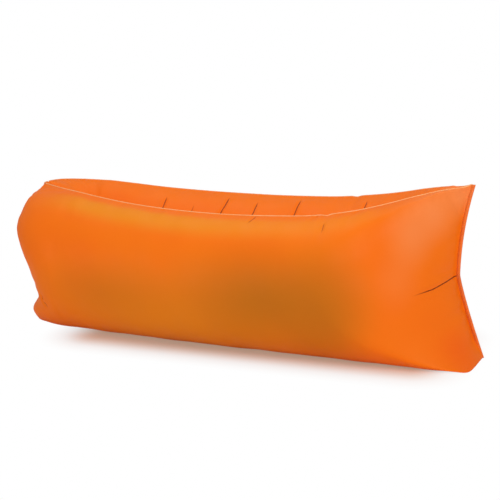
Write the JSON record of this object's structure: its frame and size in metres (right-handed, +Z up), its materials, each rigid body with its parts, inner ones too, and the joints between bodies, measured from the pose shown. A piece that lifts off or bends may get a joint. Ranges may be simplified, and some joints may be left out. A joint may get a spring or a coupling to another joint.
{
  "type": "inflatable air lounger",
  "caption": "Air lounger of coated cloth: long side by side air chambers with a trough to lie in, and a rolled mouth closed by a side release buckle.",
  "frame": {"origin": "on the floor under the middle of the lounger", "axes": "+Z up, +X along the length towards the sewn foot end, -Y towards the near chamber and the camera"},
  "size_m": [1.7984, 0.8216, 0.6278],
  "materials": {
    "coated_cloth": "satin coated ripstop weave",
    "seam_thread": "stitched seam",
    "black_webbing": "woven webbing",
    "black_plastic": "moulded, fine matt",
    "strip_plastic": "smooth"
  },
  "bodies": {
    "lounger": {"back_mouth_strip": "strip_plastic", "buckle_socket": "black_plastic", "far_inner_panel": "coated_cloth", "far_outer_panel": "coated_cloth", "far_rim_seam": "seam_thread", "front_mouth_strip": "strip_plastic", "mouth_gather": "coated_cloth", "near_inner_panel": "coated_cloth", "near_outer_panel": "coated_cloth", "near_rim_seam": "seam_thread", "rolled_mouth": "coated_cloth", "sewn_end_binding": "coated_cloth", "socket_webbing": "black_webbing", "spine_seam": "coated_cloth"},
    "plug": {"buckle_plug": "black_plastic", "plug_webbing": "black_webbing"},
    "inner_arm": {"inner_spring_arm": "black_plastic"},
    "outer_arm": {"outer_spring_arm": "black_plastic"}
  },
  "joints": [
    {"name": "plug_slide", "type": "slide", "parent": "lounger", "child": "plug", "axis": [0, 0, 1], "range_m": [0, 0.03], "deforming": ["plug_webbing", "inner_spring_arm", "outer_spring_arm"]},
    {"name": "inner_arm_squeeze", "type": "hinge", "parent": "plug", "child": "inner_arm", "pos_m": [-0.8141, 0.0734, 0.2991], "axis": [1, 0, 0], "range_deg": [0, 8], "stiffness_Nm_per_rad": 0.1},
    {"name": "outer_arm_squeeze", "type": "hinge", "parent": "plug", "child": "outer_arm", "pos_m": [-0.8141, 0.0966, 0.2991], "axis": [-1, 0, 0], "range_deg": [0, 8], "stiffness_Nm_per_rad": 0.1}
  ],
  "couplings": [
    {"joint": "outer_arm_squeeze", "follows": "inner_arm_squeeze", "ratio": 1}
  ]
}
